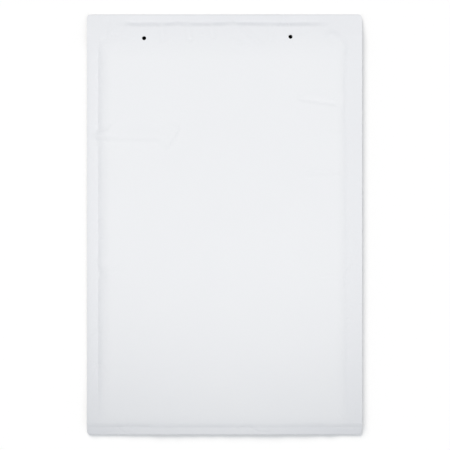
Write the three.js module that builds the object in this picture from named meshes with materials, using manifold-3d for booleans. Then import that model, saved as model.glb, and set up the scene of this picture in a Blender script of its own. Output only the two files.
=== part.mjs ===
// A white padded envelope, new and empty, lying on its back with the address side up
// and its flap folded under. It has four pieces: one sheet of paper folded at the bottom
// and at the flap and bonded along both sides, a pouch of bubble film inside it, and on
// the flap a line of adhesive under a peel-off strip. Millimetres, +Z up; +Y points from
// the bottom fold to the flap fold.
import * as THREE from "three";
import { mergeVertices } from "three/addons/utils/BufferGeometryUtils.js";
import Module from "manifold-3d";

const wasm = await Module();
wasm.setup();

// The envelope as a whole
const width = 267;
const height = 408; // bottom fold to flap fold
const padThickness = 7.4; // both padded walls together
const cornerRadius = 5;
const paperThickness = 0.2;

// Bonded side seams, and how far the paper takes to climb from each edge onto the pad
const seamThickness = 0.7; // two papers with the melted film between them
const leftSeam = 8;
const rightSeam = 10;
const leftRamp = 15.5;
const rightRamp = 11.5;

// Bottom fold: a soft bead of paper up to the crease where the padding starts
const bottomCrease = 7;
const bottomRamp = 12;
const beadRise = 0.5;
const beadRound = 1;
const foldShare = 0.35; // of the bead's height that is left at its outer end

// Flap fold, and the mouth that lies under it
const foldRadius = 1.3;
const flapDepth = 45;
const lipDrop = 11; // flap fold to the back wall's cut edge
const mouthMargin = 12; // flap fold to where the paper starts to climb
const topRamp = 16;
const settleLength = 48; // over this length the side seams come down to the flap fold

// Dent in the front paper just past the edge of the lip, in two shallow arcs
const dentDepth = 0.35;
const dentDrop = 9.5; // flap fold to the middle of the dent
const dentHalfWidth = 2;
const dentLength = 180;
const dentPeakShift = -2; // from the middle of the envelope to where the two arcs meet
const dentPeakWidth = 12;
const dentPeakShare = 0.4; // of the depth that is left where they meet

// Punched holes, in line but a little askew
const holeRadius = 2;
const holeSpacing = 142;
const holeShift = -7; // from the middle of the envelope to the middle of the pair
const holeDrop = 22.6; // flap fold to the middle of the pair
const holeTilt = 0.56; // degrees

// Closure on the flap
const adhesiveThickness = 0.25;
const adhesiveDepth = 10;
const adhesiveInset = 6; // from each side edge
const releaseThickness = 0.15;
const releaseDepth = 15;
const releaseInset = 1.5;
const releaseTipGap = 2.5; // flap's cut edge to the peel-off strip

// Bubble film pouch
const fitGap = 0.3; // between pieces that lie on each other
const linerInset = 5; // from where the paper starts to climb to the edge of the film
const pouchSeam = 2.5; // film bonded to itself round the pouch
const pouchGap = 0.5; // between the two padded walls

const seamHeight = padThickness / 2; // the side seams lie halfway up the pad
const padTop = height - mouthMargin - topRamp; // upper end of the full padding
const flapTip = height - flapDepth;
const closureStack =
  paperThickness + adhesiveThickness + releaseThickness + fitGap;

const clamp01 = (t) => Math.min(1, Math.max(0, t));
const ease = (t) => clamp01(t) ** 2 * (3 - 2 * clamp01(t));
const mix = (a, b, t) => a + (b - a) * t;

// 0 at an edge of the pad and 1 on top of it, steepest a third of the way up.
function climb(t) {
  return 1 - (1 - t) ** 3 * (1 + 3 * t);
}

// How far up the pad a point is, from 0 to 1. The pad's corners come out round.
function padRise(x, y) {
  const across = Math.min(
    (x - leftSeam) / leftRamp,
    (width - rightSeam - x) / rightRamp,
  );
  const along = Math.min(
    (y - bottomCrease) / bottomRamp,
    (height - mouthMargin - y) / topRamp,
  );
  const left = Math.hypot(1 - clamp01(across), 1 - clamp01(along));
  return climb(1 - clamp01(left));
}

// The bead of paper along the bottom fold: extra half thickness, and its rounded end.
function beadHalf(y) {
  const half = seamThickness / 2;
  if (y >= bottomCrease) return half;
  const swell = half + beadRise * Math.sin((Math.PI * y) / bottomCrease);
  const end = Math.sqrt(1 - (1 - clamp01(y / beadRound)) ** 2);
  return swell * Math.max(end, foldShare);
}

// Middle height of the unpadded edges: level at the sides, lower at the flap fold.
function edgeHeight(y) {
  const settled = 2 * foldRadius - seamThickness / 2;
  const t = (y - (height - mouthMargin - settleLength)) / settleLength;
  return mix(seamHeight, settled, ease(t));
}

// Depth of the dent past the lip, which has its arcs' ends and their meeting point raised.
function dent(x, y) {
  const fromMiddle = x - width / 2;
  const ends = ease((dentLength / 2 - Math.abs(fromMiddle)) / (dentLength / 6));
  const peak = ease(Math.abs(fromMiddle - dentPeakShift) / dentPeakWidth);
  const acrossDent = Math.abs(y - (height - dentDrop)) / dentHalfWidth;
  return dentDepth * ends * mix(dentPeakShare, 1, peak) * (1 - ease(acrossDent));
}

// The height that the back wall rests at: the table, or the flap and what it carries.
function restHeight(y) {
  return closureStack * ease((y - (flapTip - flapDepth / 4)) / (flapDepth / 5));
}

// Outer faces of the front and back walls.
function front(x, y) {
  const edge = edgeHeight(y) + beadHalf(y);
  return mix(edge, padThickness, padRise(x, y)) - dent(x, y);
}
function back(x, y) {
  const edge = edgeHeight(y) - beadHalf(y);
  return mix(edge, restHeight(y), padRise(x, y));
}
const middle = (x, y) => (front(x, y) + back(x, y)) / 2;

// Grid lines, close together where the paper curves and wide apart where it is flat.
function steps(from, to, count) {
  return Array.from({ length: count }, (_, i) => mix(from, to, i / count));
}
const linerLeft = leftSeam + linerInset;
const linerRight = width - rightSeam - linerInset;
const linerBottom = bottomCrease + linerInset;
const columns = [
  ...steps(0, leftSeam, 1),
  ...steps(leftSeam, linerLeft, 2),
  ...steps(linerLeft, linerLeft + pouchSeam, 1),
  ...steps(linerLeft + pouchSeam, leftSeam + leftRamp, 4),
  ...steps(leftSeam + leftRamp, width - rightSeam - rightRamp, 8),
  ...steps(width - rightSeam - rightRamp, linerRight - pouchSeam, 3),
  ...steps(linerRight - pouchSeam, linerRight, 1),
  ...steps(linerRight, width - rightSeam, 3),
  width - rightSeam,
  width,
];
const rows = [
  ...steps(0, beadRound, 2),
  ...steps(beadRound, bottomCrease, 4),
  ...steps(bottomCrease, linerBottom, 2),
  ...steps(linerBottom, linerBottom + pouchSeam, 1),
  ...steps(linerBottom + pouchSeam, bottomCrease + bottomRamp, 2),
  ...steps(bottomCrease + bottomRamp, flapTip - flapDepth / 4, 8),
  ...steps(flapTip - flapDepth / 4, flapTip - flapDepth / 20, 3),
  ...steps(flapTip - flapDepth / 20, padTop, 2),
  ...steps(padTop, height - mouthMargin, 6),
  ...steps(height - mouthMargin, height - lipDrop, 1),
  ...steps(height - lipDrop, height - dentDrop + dentHalfWidth, 4),
  ...steps(height - dentDrop + dentHalfWidth, height - foldRadius, 1),
  height - foldRadius,
];
const between = (lines, from, to) =>
  lines.filter((line) => line > from - 1e-6 && line < to + 1e-6);

// A three.js geometry as a closed solid for joining and cutting, and back again.
function toSolid(geometry) {
  const bare = geometry.clone();
  bare.deleteAttribute("normal");
  bare.deleteAttribute("uv");
  const merged = mergeVertices(bare, 1e-4);
  return new wasm.Manifold(
    new wasm.Mesh({
      numProp: 3,
      vertProperties: merged.attributes.position.array,
      triVerts: new Uint32Array(merged.index.array),
    }),
  );
}
function toGeometry(solid) {
  const { vertProperties, triVerts } = solid.getMesh();
  const geometry = new THREE.BufferGeometry();
  geometry.setAttribute(
    "position",
    new THREE.BufferAttribute(vertProperties, 3),
  );
  geometry.setIndex(new THREE.BufferAttribute(triVerts, 1));
  geometry.computeVertexNormals();
  return geometry;
}

// A solid over a patch of the grid, with its top and bottom faces at the given heights.
function slab(xs, ys, top, bottom) {
  const box = new THREE.BoxGeometry(1, 1, 1, xs.length - 1, ys.length - 1, 1);
  const place = box.attributes.position;
  for (let i = 0; i < place.count; i++) {
    const x = xs[Math.round((place.getX(i) + 0.5) * (xs.length - 1))];
    const y = ys[Math.round((place.getY(i) + 0.5) * (ys.length - 1))];
    place.setXYZ(i, x, y, (place.getZ(i) > 0 ? top : bottom)(x, y));
  }
  return toSolid(box);
}

// An upright prism with round corners, taller than the envelope is thick.
function prism(x0, y0, x1, y1, radius) {
  const outline = new THREE.Shape();
  outline.moveTo(x0 + radius, y0);
  outline.absarc(x1 - radius, y0 + radius, radius, -Math.PI / 2, 0);
  outline.absarc(x1 - radius, y1 - radius, radius, 0, Math.PI / 2);
  outline.absarc(x0 + radius, y1 - radius, radius, Math.PI / 2, Math.PI);
  outline.absarc(x0 + radius, y0 + radius, radius, Math.PI, 1.5 * Math.PI);
  const tall = new THREE.ExtrudeGeometry(outline, {
    depth: 3 * padThickness,
    bevelEnabled: false,
    curveSegments: 6,
  });
  return toSolid(tall.translate(0, 0, -padThickness));
}

// The flap and its fold: the paper's edge-on profile, drawn in Y and Z, drawn out along X.
function flapAndFold() {
  const turn = height - foldRadius;
  const inner = foldRadius - paperThickness;
  const joined = turn - foldRadius; // overlaps the end of the front wall
  const profile = new THREE.Shape();
  profile.moveTo(flapTip, 0);
  profile.lineTo(turn, 0);
  profile.absarc(turn, foldRadius, foldRadius, -Math.PI / 2, Math.PI / 2);
  profile.lineTo(joined, 2 * foldRadius);
  profile.lineTo(joined, 2 * foldRadius - paperThickness);
  profile.lineTo(turn, 2 * foldRadius - paperThickness);
  profile.absarc(turn, foldRadius, inner, Math.PI / 2, -Math.PI / 2, true);
  profile.lineTo(flapTip, paperThickness);
  const drawn = new THREE.ExtrudeGeometry(profile, {
    depth: width,
    bevelEnabled: false,
    curveSegments: 10,
  });
  const alongX = new THREE.Matrix4().makeBasis(
    new THREE.Vector3(0, 1, 0),
    new THREE.Vector3(0, 0, 1),
    new THREE.Vector3(1, 0, 0),
  );
  return toSolid(drawn.applyMatrix4(alongX));
}

// One of the two punched holes, as the pin that cuts it; side is -1 or 1.
function holePin(side) {
  const tilt = THREE.MathUtils.degToRad(holeTilt);
  const pin = new THREE.CylinderGeometry(
    holeRadius,
    holeRadius,
    4 * padThickness,
    24,
  );
  pin.rotateX(Math.PI / 2);
  pin.translate(
    width / 2 + holeShift + (side * holeSpacing * Math.cos(tilt)) / 2,
    height - holeDrop + (side * holeSpacing * Math.sin(tilt)) / 2,
    0,
  );
  return toSolid(pin);
}

// The paper: front and back walls, the pocket between them, the mouth, the flap, the holes.
function outerPaper() {
  const pastEdge = 1;
  const wide = [-pastEdge, ...columns.slice(1, -1), width + pastEdge];
  const insideTop = (x, y) => front(x, y) - paperThickness;
  const insideBottom = (x, y) => back(x, y) + paperThickness;
  const walls = slab(columns, rows, front, back);
  const pocket = slab(
    between(columns, leftSeam, width - rightSeam),
    between(rows, beadRound, height - lipDrop),
    insideTop,
    insideBottom,
  );
  const mouth = slab(
    wide,
    [...between(rows, height - lipDrop, height), height + pastEdge],
    insideTop,
    () => -pastEdge,
  );
  return walls
    .subtract(pocket)
    .subtract(mouth)
    .add(flapAndFold())
    .intersect(prism(0, 0, width, height, cornerRadius))
    .subtract(holePin(-1))
    .subtract(holePin(1));
}

// The bubble film: a pouch that follows the paper's inside, open towards the mouth.
function bubbleLiner() {
  const offset = paperThickness + fitGap;
  const least = pouchGap / 2; // keeps the slab's faces apart outside the pouch's corners
  const xs = between(columns, linerLeft, linerRight);
  const ys = between(rows, linerBottom, padTop);
  const padding = slab(
    xs,
    ys,
    (x, y) => Math.max(front(x, y) - offset, middle(x, y) + least),
    (x, y) => Math.min(back(x, y) + offset, middle(x, y) - least),
  ).intersect(prism(linerLeft, linerBottom, linerRight, padTop, leftRamp));
  const pouchTop = padTop + linerInset;
  const pouch = slab(
    between(xs, linerLeft + pouchSeam, linerRight - pouchSeam),
    [...between(ys, linerBottom + pouchSeam, padTop), pouchTop],
    (x, y) => middle(x, Math.min(y, padTop)) + pouchGap / 2,
    (x, y) => middle(x, Math.min(y, padTop)) - pouchGap / 2,
  );
  return padding.subtract(
    pouch.intersect(
      prism(
        linerLeft + pouchSeam,
        linerBottom + pouchSeam,
        linerRight - pouchSeam,
        pouchTop + leftRamp,
        leftRamp - pouchSeam,
      ),
    ),
  );
}

const whitePaper = new THREE.MeshStandardMaterial({
  color: 0xeff0f2,
  roughness: 0.85,
  metalness: 0,
});
const clearFilm = new THREE.MeshStandardMaterial({
  color: 0xdfe8ec,
  roughness: 0.25,
  metalness: 0,
  transparent: true,
  opacity: 0.6,
});
const hotMelt = new THREE.MeshStandardMaterial({
  color: 0xe6dfc8,
  roughness: 0.35,
  metalness: 0,
});
const siliconePaper = new THREE.MeshStandardMaterial({
  color: 0xf3efe2,
  roughness: 0.45,
  metalness: 0,
});

// A flat strip across the flap, between two distances from the bottom fold.
function strip(name, material, inset, from, depth, bottom, thickness) {
  const band = new THREE.Mesh(
    new THREE.BoxGeometry(width - 2 * inset, depth, thickness),
    material,
  );
  band.name = name;
  band.position.set(width / 2, from + depth / 2, bottom + thickness / 2);
  return band;
}

const sheet = new THREE.Mesh(toGeometry(outerPaper()), whitePaper);
sheet.name = "outer_paper";

const liner = new THREE.Mesh(toGeometry(bubbleLiner()), clearFilm);
liner.name = "bubble_liner";

const releaseFrom = flapTip + releaseTipGap;
const adhesiveStrip = strip(
  "adhesive_strip",
  hotMelt,
  adhesiveInset,
  releaseFrom + (releaseDepth - adhesiveDepth) / 2,
  adhesiveDepth,
  paperThickness,
  adhesiveThickness,
);
const releaseStrip = strip(
  "release_strip",
  siliconePaper,
  releaseInset,
  releaseFrom,
  releaseDepth,
  paperThickness + adhesiveThickness,
  releaseThickness,
);

// The pieces are drawn from the lower left corner; the part's origin is under its middle.
const pieces = new THREE.Group();
pieces.add(sheet, liner, adhesiveStrip, releaseStrip);
pieces.position.set(-width / 2, -height / 2, 0);

const envelope = new THREE.Group();
envelope.add(pieces);
export default envelope;
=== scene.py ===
import math

import bmesh
import bpy
from mathutils import Matrix, Vector, noise


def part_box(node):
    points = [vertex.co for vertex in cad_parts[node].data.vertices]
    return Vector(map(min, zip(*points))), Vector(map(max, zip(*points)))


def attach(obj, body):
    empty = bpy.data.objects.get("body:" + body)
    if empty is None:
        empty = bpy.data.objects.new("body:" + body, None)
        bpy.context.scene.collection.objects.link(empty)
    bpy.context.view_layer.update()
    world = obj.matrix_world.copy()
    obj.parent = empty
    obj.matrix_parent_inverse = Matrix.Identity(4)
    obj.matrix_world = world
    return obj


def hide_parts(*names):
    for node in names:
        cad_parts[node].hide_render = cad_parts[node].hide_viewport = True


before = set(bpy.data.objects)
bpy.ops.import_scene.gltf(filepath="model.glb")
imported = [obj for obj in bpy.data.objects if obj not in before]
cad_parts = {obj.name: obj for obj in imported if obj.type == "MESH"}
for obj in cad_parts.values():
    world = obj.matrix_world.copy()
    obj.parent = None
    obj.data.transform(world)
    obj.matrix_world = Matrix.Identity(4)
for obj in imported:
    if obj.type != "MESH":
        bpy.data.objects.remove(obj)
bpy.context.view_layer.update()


# Camera
# The envelope lies on its back and is seen from straight above, as in a shop's picture
# of it: a long lens, the flap fold at the top of the view, and a narrow white margin.
view_width = 0.4374  # of the table, across the picture
camera_height = 2.6
view_middle = (0.0005, -0.00055)
sensor = 36  # millimetres, as the lens is


def place_in_scene(name, data):
    made = bpy.data.objects.new(name, data)
    bpy.context.scene.collection.objects.link(made)
    return made


camera_data = bpy.data.cameras.new("camera")
camera_data.sensor_width = sensor
camera_data.lens = sensor * camera_height / view_width
camera_data.clip_end = 2 * camera_height
camera = place_in_scene("camera", camera_data)
camera.location = (*view_middle, camera_height)
bpy.context.scene.camera = camera


# Outer paper
# One sheet of white kraft paper, cut 267 mm wide. It is folded round the bottom into a
# front and a back, bonded shut along both sides, and folded under at the top as a flap.
# The sheet is made flat and each point is then carried to where the folds put it.
mm = 0.001
paper_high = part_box("outer_paper")[1] / mm
half_width = paper_high.x
half_height = paper_high.y
pad_thickness = paper_high.z
corner_radius = 3.4
paper_thickness = 0.2
seam_thickness = 0.7
left_seam, right_seam = 10.5, 14.6
left_ramp, right_ramp = 14.5, 11.5
left_seam_height, right_seam_height = 2.6, 5.0
left_dip, right_dip, dip_reach, dip_onset = 0.72, 0.30, 5.5, 25
bottom_crease, bottom_ramp = 7.2, 15
bottom_rises, bottom_taper, taper_length = (3.2, 0.9), 0.9, 80
edge_curl, edge_curl_width = 0.8, 3.2
lip_lift, lip_even_length = 3.3, 20
bead_rise = 0.35
bottom_fold_radius = 0.45
flap_fold_radius = 1.3
flap_depth = 45
lip_drop = 11
mouth_margin, top_ramp = 12, 34
settle_length = 30
closure_stack = 0.9
hole_radius, hole_spacing, hole_shift = 2, 142, -7
hole_drop, hole_tilt = 22.6, math.radians(0.56)

left, right = -half_width, half_width
bottom, top = -half_height, half_height
flap_tip = top - flap_depth
pad_top_height = pad_thickness - 0.25


# The step down from the pad to the strip along the bottom: soft in the middle, sharper
# across the seams, and bowed up a little beside each seam. The strip below it slopes on
# down to the fold, most at the corners. Places are measured from the middle, either way.
foot_rise = 7.0
foot_bow, bow_place, bow_reach = 1.2, 88, 18
foot_depths, deepening_start, deepening_length = (2.1, 2.6), 98, 14
foot_width = 4.4
foot_slopes, steepening_start, steepening_length = (1.2, 1.6), 50, 75


def clamp(t):
    return min(1.0, max(0.0, t))


def ease(t):
    return clamp(t) ** 2 * (3 - 2 * clamp(t))


def blend(a, b, t):
    return a + (b - a) * t


def climb(t):
    """0 at an edge of the pad and 1 on top of it, steepest right at the edge, as on a pillow."""
    return math.sin(math.pi / 2 * t)


def ripple(x, y, size, seed):
    """Soft uneven waves about as long as size, from -1 to 1."""
    return noise.noise(Vector((x / size, y / size, seed)))


def pocket_rise(x, y):
    """0 where the papers are bonded, 1 where they lie apart. The pad's rim isn't ruler-straight."""
    waver = 0.9 * ripple(x, y, 14, 3.5) + 0.5 * ripple(x, y, 5, 8.5)
    for pinch_x, pinch_y, pull, reach in pinches:
        if abs(x - pinch_x) < 40:
            waver += pull * math.exp(-(((y - pinch_y) / reach) ** 2))
    across = min((x - left - left_seam + waver) / left_ramp, (right - right_seam - x + waver) / right_ramp)
    along = (y - bottom - bottom_crease) / bottom_ramp
    return climb(clamp(across)) * climb(clamp(along))


def pad_rise(x, y):
    """How far up the pad the front is, from 0 to 1: it also slopes off towards the mouth."""
    return pocket_rise(x, y) * ease((top - mouth_margin - y) / top_ramp)


def bead_half(y):
    """Half thickness outside the pad: the bonded seam, swelling to a soft bead by the bottom fold."""
    swell = math.sin(math.pi * clamp((y - bottom) / bottom_crease))
    return seam_thickness / 2 + bead_rise * swell


def foot_line(x):
    return bottom + foot_rise + foot_bow * math.exp(-(((abs(x) - bow_place) / bow_reach) ** 2))


def foot_drop(x, y):
    """How far the step along the bottom and the strip below it lie under the seams."""
    line = foot_line(x)
    depth = blend(*foot_depths, ease((abs(x) - deepening_start) / deepening_length))
    depth *= 1 + 0.22 * ripple(x, 0, 12, 9.5)
    fallen = clamp(1 - (y - line) / foot_width) ** 1.25
    slope = blend(*foot_slopes, clamp((abs(x) - steepening_start) / steepening_length))
    return depth * fallen + slope * (1 - clamp(1 - (line - y) / foot_rise) ** 2)


def edge_height(x, y):
    """Middle height outside the pad: higher at the right, with a dip by the pad and a curled left edge."""
    rightwards = (x - left) / (right - left)
    seam_height = blend(left_seam_height, right_seam_height, rightwards)
    seam_height += blend(*bottom_rises, rightwards) * ease(1 - (y - bottom) / taper_length)
    dip = left_dip * ease(1 - abs(x - left - left_seam) / dip_reach)
    dip += right_dip * ease(1 - abs(x - right + right_seam) / dip_reach)
    seam_height -= dip * ease((y - bottom - bottom_crease) / dip_onset)
    seam_height -= edge_curl * clamp(1 - (x - left) / edge_curl_width) ** 2 + foot_drop(x, y)
    settled = 2 * flap_fold_radius - seam_thickness / 2
    lip_height = settled + lip_lift * lip_climb(x, y)
    return blend(seam_height, lip_height, ease((y - (top - mouth_margin - settle_length)) / settle_length))


# Where the pad's rim is pinched in or let out along the sides: place, pull and reach.
pinches = [
    (left, 87, 4.6, 4.0),
    (left, -36, 1.6, 5),
    (left, -49, -1.6, 3),
    (left, 57, 1.0, 3),
    (right, 121, 1.6, 4),
    (right, 50, 1.4, 3),
    (right, -52, -1.2, 4),
]

# Creases pressed into the front: both ends, the widths of the slopes to the left and right
# of the way from one end to the other, the height (negative for a valley), and how far
# the middle bows to the right.
front_creases = [
    ((-124, 85.9), (-53, 84.5), (14, 6), 1.35, 0),
    ((-119, 86), (-97, 106), (4, 10), 0.65, 0),
    ((-116, 68), (-104, 78), (1.8, 1.8), 0.25, 1),
    ((-118, -43), (-101, -43), (2.2, 2.2), 0.45, 0),
    ((-118, 57), (-103, 57), (1.8, 1.8), 0.25, 0),
    ((68, 123), (115, 116.5), (12, 4), -1.60, 0),
    ((102, 122.3), (114, 121.8), (1.8, 1.8), 0.40, 0),
    ((100, 91), (114, 90), (1.8, 1.8), 0.35, 0),
    ((76, 49), (118, 50.5), (6, 2.5), 0.60, 0),
    ((90, -51.5), (116, -51.5), (4, 2.5), -0.50, 0),
    ((57, 85), (66, 92), (2.0, 2.0), 0.20, 0),
    ((16, 156), (17, 92), (9.0, 9.0), -0.30, 0),
    ((-122, 174.5), (-95, 171.3), (8, 3), 0.60, 0),
    ((-115, 176.5), (-86, 178), (4, 2.5), 0.40, 0),
    ((-111, 184.7), (-98, 183.7), (2.5, 3.5), -0.70, 0),
    ((-113, 202), (-117, 176), (4.5, 4.5), -0.70, 0),
    ((-58, 72), (-43, 97), (13, 4), 1.20, 0),
    ((4, 181), (24, 172), (3.5, 3.5), 0.55, 0),
    ((15, 193), (39, 171), (4.5, 4.5), 0.85, 0),
    ((-27, 184.5), (-13, 182), (2.2, 2.2), -0.50, 0),
    ((54, 181), (78, 168), (2.2, 2.2), 0.20, 1),
    ((97, 187), (120.5, 165), (7, 12), 1.15, -3.5),
    ((-60.5, 196), (-60, 176), (5, 5), -0.95, 0),
    ((-36, 196), (-33.5, 176), (5, 5), -0.95, 0),
    ((-12, 196), (-11, 178), (4.5, 4.5), -0.75, 0),
    ((-22, 197), (-8, 201), (2.2, 2.2), -0.45, 0),
    ((5, 202), (16, 194), (2.2, 2.2), -0.55, 0),
    ((44, 195), (46, 176), (4, 4), -0.60, 0),
    ((-95, 199), (-86, 195), (2.4, 2.4), -0.60, 0),
    ((-108, 189), (-101, 186), (3.0, 3.0), -0.50, 0),
    ((116.8, 160), (117.2, 78), (1.6, 1.6), -0.25, 0),
]

# The step in the front paper over the edge of the mouth's lip, and the peaks where the arcs
# that it runs in meet: place, rise, reach and how far the step is smoothed out there.
lip_line_drop = 9.9
lip_step_width = 5.4
lip_step_ends, lip_step_fading = (-108, 107), 26
lip_peaks = [(7.6, 1.1, 7, 0.5), (-46, 0.9, 5, 0.15)]


def crease_height(x, y, start, end, slope_widths, height, bow):
    """What one crease adds to the height at a point: a rounded ridge that runs out at both ends."""
    along_x, along_y = end[0] - start[0], end[1] - start[1]
    length = math.hypot(along_x, along_y)
    t = ((x - start[0]) * along_x + (y - start[1]) * along_y) / length**2
    if not 0 < t < 1:
        return 0.0
    aside = ((x - start[0]) * along_y - (y - start[1]) * along_x) / length - bow * 4 * t * (1 - t)
    slope_width = slope_widths[aside > 0]
    if abs(aside) > slope_width:
        return 0.0
    return height * ease(5 * min(t, 1 - t)) * (1 - ease(abs(aside) / slope_width))


def lip_line(x):
    line = top - lip_line_drop + 0.35 * ripple(x, 0, 25, 1.5)
    return line + sum(rise * math.exp(-abs(x - place) / reach) for place, rise, reach, _ in lip_peaks)


def lip_climb(x, y):
    """How far the front has climbed onto the lip, 0 to 1: in one step, or evenly where that runs out."""
    stepped = ease(min(x - lip_step_ends[0], lip_step_ends[1] - x) / lip_step_fading)
    for place, _, reach, smoothed in lip_peaks:
        stepped *= 1 - smoothed * math.exp(-(((x - place) / reach) ** 2))
    width = lip_step_width * (1 + 0.25 * ripple(x, 0, 18, 6.5))
    step = ease((lip_line(x) + width / 2 - y) / width)
    return blend(clamp((top - flap_fold_radius - y) / lip_even_length), step, stepped)


def unbacked_and_painted_shade(x, y):
    """How much darker the paper is painted along both ends: partly duller paper where no film or second layer
    backs it, and partly painted shade in place of slopes, over the flap fold most in the middle and below the
    foot line most towards the corners.
    """
    over_flap_fold = (1 - lip_climb(x, y)) * clamp(1.3 - abs(x - 25) / 90)
    under_foot_line = ease((foot_line(x) - y) / 2) * clamp((abs(x + 25) - 45) / 90)
    return 0.75 * over_flap_fold + 1.2 * under_foot_line


def front(x, y):
    """Height of the front's outer face."""
    rise = pad_rise(x, y)
    edge = edge_height(x, y) + bead_half(y)
    height = blend(edge, pad_top_height - bottom_taper * ease(1 - (y - bottom) / taper_length), rise)
    height += rise * (0.16 * ripple(x, y, 75, 0.5) + 0.07 * ripple(x, y, 28, 2.5))
    slope = 4 * rise * (1 - rise)
    height += slope * (0.20 * ripple(x, y, 9, 4.5) + 0.10 * ripple(x, y, 4.5, 5.5))
    for crease in front_creases:
        height += crease_height(x, y, *crease)
    return height


def back(x, y):
    """Height of the back's outer face, which lies on the table and, higher up, on the flap."""
    rise = pocket_rise(x, y)
    rest = closure_stack * ease((y - (flap_tip - flap_depth / 4)) / (flap_depth / 5))
    slope = 4 * rise * (1 - rise)
    lifted = slope * (0.16 * ripple(x, y, 10, 14.5) + 0.10 * ripple(x, y, 5, 15.5))
    return max(rest, blend(edge_height(x, y) - bead_half(y), rest, rise) + lifted)


def half_width_at(y):
    """The outline's half width, which the rounded corners narrow at both ends."""
    short = corner_radius - min(y - bottom, top - y)
    if short <= 0:
        return half_width
    return half_width - corner_radius + math.sqrt(corner_radius**2 - min(short, corner_radius) ** 2)


def spread(start, end, spacing):
    """Even places from start up to end, without the end."""
    count = max(1, round(abs(end - start) / spacing))
    return [blend(start, end, i / count) for i in range(count)]


# Where the sheet is divided: closely where it bends, and widely where it lies flat.
columns = [
    *spread(left, left + edge_curl_width, 0.8),
    *spread(left + edge_curl_width, left + left_seam, 2.4),
    *spread(left + left_seam, left + left_seam + left_ramp + 4, 1.1),
    *spread(left + left_seam + left_ramp + 4, right - right_seam - right_ramp - 4, 2.8),
    *spread(right - right_seam - right_ramp - 4, right - right_seam, 1.1),
    *spread(right - right_seam, right, 2),
    right,
]
fold_steps = 8
back_rows = [
    *spread(top - lip_drop, flap_tip - 15, 3.4),
    *spread(flap_tip - 15, bottom + 24, 8),
    *spread(bottom + 24, bottom + bottom_fold_radius, 1.8),
]
front_rows = [
    *spread(bottom + bottom_fold_radius, bottom + foot_rise, 0.6),
    *spread(bottom + foot_rise, bottom + 12, 0.6),
    *spread(bottom + 12, bottom + 26, 1.2),
    *spread(bottom + 26, -57, 2.1),
    *spread(-57, -38, 1.2),
    *spread(-38, 43, 2.1),
    *spread(43, 56, 1.2),
    *spread(56, 70, 2.1),
    *spread(70, 128, 1.2),
    *spread(128, top - 36, 2.1),
    *spread(top - 36, top - 14, 1.0),
    *spread(top - 14, top - lip_line_drop, 0.6),
    *spread(top - lip_line_drop, top - flap_fold_radius, 0.6),
]
flap_rows = [*spread(top - flap_fold_radius, flap_tip, 7), flap_tip]

# The rows by the two long steps follow them: where each would be if straight, its line, and
# how far from it the rows still bend.
followed = [(bottom + foot_rise, foot_line, 6), (top - lip_line_drop, lip_line, 8)]

# Parts of the front with small slanting creases, which have twice the columns.
finely_creased = [((-116, -38), (68, 112)), ((-122, 122), (166, 195)), ((62, 118), (108, 130))]

# Each station along the sheet says how to place the points of one row of it.
stations = (
    [("back", y) for y in back_rows]
    + [("bottom_fold", blend(-0.5, 0.5, i / fold_steps) * math.pi) for i in range(fold_steps)]
    + [("front", y) for y in front_rows]
    + [("flap_fold", blend(0.5, -0.5, i / fold_steps) * math.pi) for i in range(fold_steps)]
    + [("flap", y) for y in flap_rows]
)


def folded(x, station):
    """Where the folds carry the point of a station that is x from the sheet's middle line."""
    part, place = station
    if part == "bottom_fold":
        y = bottom + bottom_fold_radius * (1 - math.cos(place))
        z = edge_height(x, y) + bottom_fold_radius * math.sin(place)
    elif part == "flap_fold":
        y = top - flap_fold_radius * (1 - math.cos(place))
        z = flap_fold_radius * (1 + math.sin(place))
    else:
        y = place
        for own_height, line, reach in followed if part == "front" else []:
            y += (line(x) - own_height) * (1 - ease(abs(place - own_height) / reach))
        z = {"front": front, "back": back, "flap": lambda x, y: 0.0}[part](x, y)
    return Vector((x * half_width_at(y) / half_width, y, z))


sheet = bmesh.new()
uv = sheet.loops.layers.uv.new("flat_sheet")
across_count, along_count = len(columns) - 1, len(stations) - 1
bmesh.ops.create_grid(sheet, x_segments=across_count, y_segments=along_count, size=0.5)


def x_at(column):
    """Place across the sheet of a column, or of a point part of the way to the next one."""
    before = min(int(column), across_count - 1)
    return blend(columns[before], columns[before + 1], column - before)


def place_on_sheet(point):
    return (point.co.x + 0.5) * across_count, round((point.co.y + 0.5) * along_count)


def is_finely_creased(edge):
    (first, station), (second, other_station) = (place_on_sheet(point) for point in edge.verts)
    part, y = stations[station]
    return station == other_station and part == "front" and any(
        low_y < y < high_y and all(low_x < x_at(column) < high_x for column in (first, second))
        for (low_x, high_x), (low_y, high_y) in finely_creased
    )


bmesh.ops.subdivide_edges(sheet, edges=[edge for edge in sheet.edges if is_finely_creased(edge)], cuts=1)
sheet_position = {}
padding_and_painted_shade = sheet.verts.layers.float.new("padding_and_painted_shade")
for point in sheet.verts:
    column, station = sheet_position[point] = place_on_sheet(point)
    point.co = folded(x_at(column), stations[station])
    # Whiter over the pad; lower along both ends, partly for paper with no film behind it and partly as
    # painted shade.
    point[padding_and_painted_shade] = pad_rise(point.co.x, point.co.y) - unbacked_and_painted_shade(point.co.x, point.co.y)
# The distance along the sheet is measured on its middle line, so that paper grain isn't stretched.
middle_column = across_count // 2
middle_line = sorted(
    (station, point.co.copy()) for point, (column, station) in sheet_position.items()
    if abs(column - middle_column) < 0.25
)
travelled = [0.0]
for (_, before), (_, after) in zip(middle_line, middle_line[1:]):
    travelled.append(travelled[-1] + (after - before).length)
for face in sheet.faces:
    face.smooth = True
    for loop in face.loops:
        column, station = sheet_position[loop.vert]
        loop[uv].uv = (x_at(column) * mm, travelled[station] * mm)
bmesh.ops.scale(sheet, vec=(mm, mm, mm), verts=sheet.verts)


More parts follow.
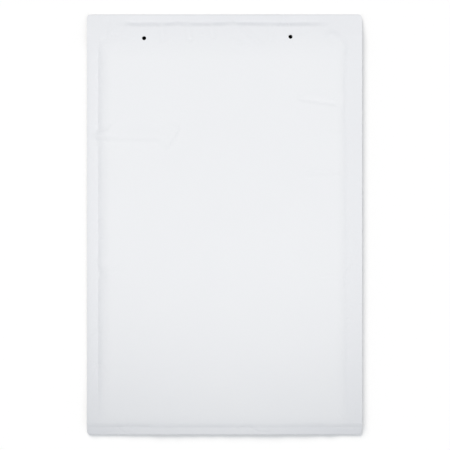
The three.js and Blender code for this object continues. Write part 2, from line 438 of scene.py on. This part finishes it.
def object_from(shape, name):
    """A new object in the scene, from a bmesh in metres."""
    mesh = bpy.data.meshes.new(name)
    shape.to_mesh(mesh)
    shape.free()
    return place_in_scene(name, mesh)


def piece_from(shape, name):
    """A finished piece, on the envelope's one body."""
    piece = object_from(shape, name)
    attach(piece, "root")
    return piece


def apply_modifiers(piece):
    """Makes the mesh what its modifiers show."""
    shown = piece.evaluated_get(bpy.context.evaluated_depsgraph_get())
    mesh = bpy.data.meshes.new_from_object(shown)
    piece.modifiers.clear()
    piece.data = mesh


def keep_corners_crisp(piece, least_angle):
    """Marks the edges that turn by at least this angle as sharp, such as a sheet's cut edge."""
    shape = bmesh.new()
    shape.from_mesh(piece.data)
    for edge in shape.edges:
        edge.smooth = edge.calc_face_angle(0) < least_angle
    shape.to_mesh(piece.data)
    shape.free()


outer_paper = piece_from(sheet, "folded_paper")
thickness = outer_paper.modifiers.new("thickness", "SOLIDIFY")
thickness.thickness = paper_thickness * mm
thickness.offset = -1
thickness.use_even_offset = False

# The two holes are punched through the front, the back and the flap at once.
to_one_hole = Vector((math.cos(hole_tilt), math.sin(hole_tilt), 0)) * hole_spacing / 2
hole_middles = [Vector((hole_shift, top - hole_drop, 0)) + side * to_one_hole for side in (-1, 1)]
punch_shape = bmesh.new()
for middle in hole_middles:
    bmesh.ops.create_cone(
        punch_shape, cap_ends=True, segments=40, radius1=hole_radius * mm, radius2=hole_radius * mm,
        depth=40 * mm, matrix=Matrix.Translation(middle * mm),
    )
punch = object_from(punch_shape, "punch")
holes = outer_paper.modifiers.new("holes", "BOOLEAN")
holes.object = punch
holes.operation = "DIFFERENCE"
holes.solver = "EXACT"
apply_modifiers(outer_paper)
bpy.data.objects.remove(punch)
keep_corners_crisp(outer_paper, math.radians(27))
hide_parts("outer_paper")


class Shade:
    """A shader socket that can stand in a sum, so that a mask reads as a formula."""

    def __init__(self, finish, socket):
        self.finish, self.socket = finish, socket

    def combine(self, operation, first, second):
        return self.finish.node("ShaderNodeMath", {"operation": operation}, {0: first, 1: second})

    def __add__(self, other):
        return self.combine("ADD", self, other)

    def __radd__(self, other):
        return self.combine("ADD", other, self)

    def __sub__(self, other):
        return self.combine("SUBTRACT", self, other)

    def __rsub__(self, other):
        return self.combine("SUBTRACT", other, self)

    def __mul__(self, other):
        return self.combine("MULTIPLY", self, other)

    def __rmul__(self, other):
        return self.combine("MULTIPLY", other, self)


class Finish:
    """A material that is put together node by node around one Principled shader."""

    def __init__(self, name):
        self.material = bpy.data.materials.new(name)
        self.material.use_nodes = True
        self.tree = self.material.node_tree
        self.surface = self.tree.nodes["Principled BSDF"]

    def node(self, kind, settings=None, sockets=None, output=0):
        """Adds a node: its settings first, then a value or a link for each named socket."""
        made = self.tree.nodes.new(kind)
        for setting, value in (settings or {}).items():
            if setting == "stops":
                for stop, (place, colour) in zip(made.color_ramp.elements, value):
                    stop.position, stop.color = place, colour
            else:
                setattr(made, setting, value)
        for socket, value in (sockets or {}).items():
            self.join(made.inputs[socket], value)
        return Shade(self, made.outputs[output])

    def join(self, socket, value):
        if isinstance(value, Shade):
            self.tree.links.new(value.socket, socket)
        else:
            socket.default_value = value

    def set(self, **sockets):
        """Gives the Principled shader's sockets their values or links, an underscore for a space."""
        for socket, value in sockets.items():
            self.join(self.surface.inputs[socket.replace("_", " ")], value)
        return self.material


# White kraft paper: matt and faintly cool, with a fine grain of fibres, small cloudy
# differences in whiteness, and shallow crumples, which are sharpest beside the seams.
def white_paper_finish():
    paper = Finish("white_paper")
    place = paper.node("ShaderNodeTexCoord", output="Object")
    flat = paper.node("ShaderNodeUVMap", {"uv_map": "flat_sheet"})
    cloud = paper.node("ShaderNodeTexNoise", sockets={"Vector": place, "Scale": 22, "Detail": 3})
    fleck = paper.node("ShaderNodeTexNoise", sockets={"Vector": flat, "Scale": 900, "Detail": 4})
    along_fibres = paper.node("ShaderNodeMapping", sockets={"Vector": flat, "Scale": (2600, 800, 1)})
    fibre = paper.node("ShaderNodeTexNoise", sockets={"Vector": along_fibres, "Scale": 1, "Detail": 5})
    padding_and_painted_shade = paper.node("ShaderNodeAttribute", {"attribute_name": "padding_and_painted_shade"}, output="Fac")
    # Darker where the paper has no backing, and where shade along both ends is painted into the colour.
    whiteness = 0.5 + 0.225 * padding_and_painted_shade + 0.11 * cloud + 0.14 * fleck
    colour = paper.node(
        "ShaderNodeMix",
        {"data_type": "RGBA"},
        {"Factor": whiteness, "A": (0.746, 0.757, 0.796, 1), "B": (0.884, 0.891, 0.908, 1)},
        output="Result",
    )
    soft_crumple = paper.node("ShaderNodeTexNoise", sockets={"Vector": place, "Scale": 110, "Detail": 2})
    drift = paper.node(
        "ShaderNodeTexNoise", sockets={"Vector": place, "Scale": 30, "Detail": 2}, output="Color"
    )
    bent = paper.node(
        "ShaderNodeVectorMath", {"operation": "MULTIPLY_ADD"}, {0: drift, 1: (0.02, 0.02, 0), 2: place}
    )
    from_fold = paper.node(
        "ShaderNodeTexVoronoi",
        {"feature": "DISTANCE_TO_EDGE"},
        {"Vector": bent, "Scale": 48},
        output="Distance",
    )
    sharp = paper.node(
        "ShaderNodeMapRange", {"interpolation_type": "SMOOTHSTEP"}, {"Value": from_fold, "From Max": 0.10}
    )
    folds_shown = paper.node(
        "ShaderNodeMapRange", sockets={"Value": cloud, "From Min": 0.45, "From Max": 0.65}
    )
    folds = sharp * folds_shown * (1.15 - padding_and_painted_shade)
    grain = 0.00002 * fibre + 0.000012 * fleck + 0.00006 * soft_crumple + 0.0002 * folds
    relief = paper.node("ShaderNodeBump", sockets={"Height": grain, "Strength": 1.0, "Distance": 1.0})
    return paper.set(
        Base_Color=colour,
        Roughness=0.72 + 0.12 * fleck,
        Specular_IOR_Level=0.35,
        Sheen_Weight=0.05,
        Sheen_Roughness=0.6,
        Normal=relief,
    )


outer_paper.data.materials.clear()
outer_paper.data.materials.append(white_paper_finish())


# Side bonds
# Between the two papers along each side runs a band of the lining's film, melted flat
# between hot bars, which glues them together. Its edge shows as a hairline between them.
bond_thickness = 0.26
bond_inset = 0.15  # from the paper's cut edge
bond_pad_gap = 0.4
bond_end_gaps = (1.2, 0.6)  # to the bottom and to the lip
bond_shape = bmesh.new()
left_band = (left + bond_inset, left + left_seam - bond_pad_gap)
right_band = (right - right_seam + bond_pad_gap, right - bond_inset)
for edge_x, inner_x in (left_band, right_band):
    strip = bmesh.ops.create_grid(bond_shape, x_segments=8, y_segments=120, size=0.5)["verts"]
    for point in strip:
        x = blend(edge_x, inner_x, point.co.x + 0.5)
        y = blend(bottom + bond_end_gaps[0], top - lip_drop - bond_end_gaps[1], point.co.y + 0.5)
        x += 0.12 * ripple(x, y, 6, 20.5) * (abs(x) > half_width - 1)
        x *= half_width_at(y) / half_width
        point.co = Vector((x, y, edge_height(x, y) - bond_thickness / 2)) * mm
whole_band = [*bond_shape.verts, *bond_shape.edges, *bond_shape.faces]
bmesh.ops.solidify(bond_shape, geom=whole_band, thickness=-bond_thickness * mm)
side_bonds = piece_from(bond_shape, "side_bonds")
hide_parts("outer_paper")


def melted_film_finish():
    film = Finish("melted_film")
    place = film.node("ShaderNodeTexCoord", output="Object")
    crushed = film.node("ShaderNodeTexVoronoi", sockets={"Vector": place, "Scale": 130})
    relief = film.node(
        "ShaderNodeBump", sockets={"Height": 0.00008 * crushed, "Strength": 1.0, "Distance": 1.0}
    )
    return film.set(
        Base_Color=(0.78, 0.81, 0.83, 1), Roughness=0.28 + 0.2 * crushed, IOR=1.51,
        Transmission_Weight=0.35, Normal=relief,
    )


side_bonds.data.materials.append(melted_film_finish())


# Bubble film
# The lining: clear polyethylene film with round air bubbles 10 mm across, folded into a
# pouch and bonded round three sides. Its bubbles face the paper and its flat side the pocket.
liner_low, liner_high = (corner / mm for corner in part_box("bubble_liner"))
bubble_radius = 5
bubble_pitch = 11.6
row_pitch = bubble_pitch * math.sqrt(3) / 2
film_thickness = 0.08
film_seam = 2.5  # welded margin round the pouch
pocket_gap = 0.5
bubble_clearance = 0.2
liner_corner = 14


def paper_inside(x, y, side):
    """Height of the paper's inner face over (side 1) or under (side -1) the pocket."""
    return (front if side > 0 else back)(x, y) - side * paper_thickness


def pocket_middle(x, y):
    return (front(x, y) + back(x, y)) / 2


def valley_over(x, y):
    """Depth of the deepest valley that is pressed into the front anywhere over a bubble."""
    reach = [bubble_radius * step / 2 for step in (-2, -1, 0, 1, 2)]
    valleys = [crease for crease in front_creases if crease[3] < 0]
    return -min(crease_height(x + dx, y + dy, *valley) for valley in valleys for dx in reach for dy in reach)


def inside_liner(x, y, margin):
    """Whether a point is within the pouch's outline, its lower corners rounded, by at least margin."""
    across = min(x - liner_low.x, liner_high.x - x) - margin
    along = min(y - liner_low.y, liner_high.y - y) - margin
    if across < 0 or along < 0:
        return False
    nearest = liner_corner - margin
    return across > nearest or along > nearest or math.hypot(nearest - across, nearest - along) < nearest


film_shape = bmesh.new()
for side in (1, -1):
    wall = bmesh.ops.create_grid(film_shape, x_segments=60, y_segments=92, size=0.5)["verts"]
    for point in wall:
        x = blend(liner_low.x, liner_high.x, point.co.x + 0.5)
        y = blend(liner_low.y, liner_high.y, point.co.y + 0.5)
        from_weld = min(x - liner_low.x, liner_high.x - x, y - liner_low.y)
        opened = ease(from_weld / (2 * film_seam))
        gap = blend(film_thickness, pocket_gap / 2, opened)
        point.co = Vector((x, y, pocket_middle(x, y) + side * gap)) * mm
    if side < 0:
        bmesh.ops.reverse_faces(film_shape, faces=list({face for point in wall for face in point.link_faces}))
bmesh.ops.solidify(
    film_shape, geom=[*film_shape.verts, *film_shape.edges, *film_shape.faces], thickness=-film_thickness * mm
)

# One bubble, 1 across its foot and 1 high, is copied to each place and fitted between the
# film and the paper there, so that the bubbles by the welded rim are pressed flat.
bubble = bmesh.new()
bmesh.ops.create_uvsphere(bubble, u_segments=12, v_segments=6, radius=1)
upper_half = [*bubble.verts, *bubble.edges, *bubble.faces]
bmesh.ops.bisect_plane(bubble, geom=upper_half, plane_no=(0, 0, 1), clear_inner=True)
bmesh.ops.holes_fill(bubble, edges=bubble.edges, sides=12)
bubble_mesh = bpy.data.meshes.new("bubble")
bubble.to_mesh(bubble_mesh)
bubble.free()

rows_of_bubbles = int((liner_high.y - liner_low.y) / row_pitch)
bubbles_in_row = int((liner_high.x - liner_low.x) / bubble_pitch)
for side in (1, -1):
    for row in range(rows_of_bubbles + 1):
        for number in range(bubbles_in_row + 1):
            x = liner_low.x + (number + 0.5 * (row % 2)) * bubble_pitch + film_seam
            y = liner_low.y + row * row_pitch + film_seam
            if not inside_liner(x, y, bubble_radius + film_seam):
                continue
            before = len(film_shape.verts)
            pressed = valley_over(x, y) if side > 0 else 0
            film_shape.from_mesh(bubble_mesh)
            film_shape.verts.ensure_lookup_table()
            for point in film_shape.verts[before:]:
                px, py = x + bubble_radius * point.co.x, y + bubble_radius * point.co.y
                foot = pocket_middle(px, py) + side * (pocket_gap / 2 + film_thickness)
                head = paper_inside(px, py, side) - side * bubble_clearance - pressed
                head = max(head, foot) if side > 0 else min(head, foot)
                risen = point.co.z ** 0.7
                point.co = Vector((px, py, foot + (head - foot) * risen)) * mm
bmesh.ops.recalc_face_normals(film_shape, faces=film_shape.faces)
for face in film_shape.faces:
    face.smooth = True
bubble_film = piece_from(film_shape, "bubble_film")
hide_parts("bubble_liner")


def clear_film_finish():
    film = Finish("clear_film")
    place = film.node("ShaderNodeTexCoord", output="Object")
    wrinkle = film.node("ShaderNodeTexNoise", sockets={"Vector": place, "Scale": 260, "Detail": 3})
    relief = film.node(
        "ShaderNodeBump", sockets={"Height": 0.00005 * wrinkle, "Strength": 1.0, "Distance": 1.0}
    )
    return film.set(
        Base_Color=(0.93, 0.95, 0.96, 1), Roughness=0.08 + 0.1 * wrinkle, IOR=1.51,
        Transmission_Weight=0.85, Normal=relief,
    )


bubble_film.data.materials.append(clear_film_finish())


# Closure
# Across the flap's inner side lies a line of clear, slightly yellow hot-melt glue, and on
# it a strip of silicone paper that peels off. Both are hidden while the flap lies under.
def hot_melt_finish():
    glue = Finish("hot_melt")
    place = glue.node("ShaderNodeTexCoord", output="Object")
    flow = glue.node("ShaderNodeTexNoise", sockets={"Vector": place, "Scale": 90, "Detail": 2})
    relief = glue.node("ShaderNodeBump", sockets={"Height": 0.0001 * flow, "Strength": 1.0, "Distance": 1.0})
    return glue.set(
        Base_Color=(0.80, 0.73, 0.55, 1), Roughness=0.18 + 0.15 * flow, Transmission_Weight=0.3, Normal=relief
    )


def silicone_paper_finish():
    strip = Finish("silicone_paper")
    place = strip.node("ShaderNodeTexCoord", output="Object")
    fibre = strip.node("ShaderNodeTexNoise", sockets={"Vector": place, "Scale": 700, "Detail": 4})
    colour = strip.node(
        "ShaderNodeMix", {"data_type": "RGBA"},
        {"Factor": fibre, "A": (0.86, 0.84, 0.75, 1), "B": (0.92, 0.90, 0.82, 1)}, output="Result",
    )
    return strip.set(Base_Color=colour, Roughness=0.32 + 0.12 * fibre, Coat_Weight=0.25, Coat_Roughness=0.2)


for node, finish in (("adhesive_strip", hot_melt_finish()), ("release_strip", silicone_paper_finish())):
    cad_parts[node].material_slots[0].material = finish


# Floor
# The white table that the envelope lies on. To the camera it is plain white, and it
# keeps the envelope's soft shadow.
table_reach = 6
below_paper = Vector((0, 0, -0.00005))
floor_shape = bmesh.new()
bmesh.ops.create_grid(floor_shape, x_segments=1, y_segments=1, size=table_reach)
bmesh.ops.translate(floor_shape, vec=below_paper, verts=floor_shape.verts)
floor = object_from(floor_shape, "floor")
white_table = Finish("white_table")
seen = white_table.node("ShaderNodeLightPath", output="Is Camera Ray")
in_gloss = white_table.node("ShaderNodeLightPath", output="Is Glossy Ray")
in_film = white_table.node("ShaderNodeLightPath", output="Is Transmission Ray")
white_table.set(
    Base_Color=(0.80, 0.80, 0.80, 1),
    Roughness=0.9,
    Specular_IOR_Level=0.0,
    Emission_Color=seen + in_gloss + in_film,
    Emission_Strength=0.212,
)
floor.data.materials.append(white_table.material)

# Under the two holes lie black spots on the table: painted shade, so that the holes show black.
painted_shade_offset = 0.4 * below_paper
painted_shade_shape = bmesh.new()
for middle in hole_middles:
    bmesh.ops.create_circle(
        painted_shade_shape, cap_ends=True, segments=24, radius=3 * hole_radius * mm,
        matrix=Matrix.Translation(middle * mm + painted_shade_offset),
    )
painted_shade_spots = object_from(painted_shade_shape, "painted_shade_spots")
painted_shade_spots.data.materials.append(
    Finish("painted_shade_black").set(Base_Color=(0.02, 0.02, 0.02, 1), Roughness=0.9, Specular_IOR_Level=0.1)
)


# Light
# A white room and one broad soft lamp above, a little nearer the flap end, so that the
# bottom is slightly darker. Two more lamps light the table alone: one draws the soft shadow
# to the right and below, the other the faint one close round every edge.
world = bpy.data.worlds.new("white_room")
bpy.context.scene.world = world
world.use_nodes = True
room = world.node_tree.nodes["Background"]
room.inputs["Color"].default_value = (0.93, 1.0, 1.07, 1)
room.inputs["Strength"].default_value = 0.38

overhead_data = bpy.data.lights.new("overhead_lamp", "AREA")
overhead_data.shape = "ELLIPSE"
overhead_data.size, overhead_data.size_y = 0.92, 0.80
overhead_data.spread = math.radians(42)
overhead_data.energy = 1.166
overhead_data.color = (1.0, 0.965, 0.925)
overhead = place_in_scene("overhead_lamp", overhead_data)
overhead.location = (0.016, 0.088, 0.8)
overhead.visible_camera = False
envelope_only = bpy.data.collections.new("envelope_only")
strips = [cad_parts[node] for node in ("adhesive_strip", "release_strip")]
for lit in (outer_paper, side_bonds, bubble_film, *strips):
    envelope_only.objects.link(lit)
overhead.light_linking.receiver_collection = envelope_only

table_only = bpy.data.collections.new("table_only")
table_only.objects.link(floor)
for name, energy, angle, colour, towards in (
    ("shadow_lamp", 2.46, 38, (1.0, 0.942, 0.883), (-0.44, 1.30, 0.95)),
    ("edge_shadow_lamp", 0.60, 120, (1.0, 1.0, 1.0), (0, 0, 1)),
):
    sun_data = bpy.data.lights.new(name, "SUN")
    sun_data.energy, sun_data.angle, sun_data.color = energy, math.radians(angle), colour
    sun = place_in_scene(name, sun_data)
    sun.rotation_mode = "QUATERNION"
    sun.rotation_quaternion = Vector(towards).to_track_quat("Z", "Y")
    sun.light_linking.receiver_collection = table_only

bpy.context.scene.view_settings.view_transform = "Standard"
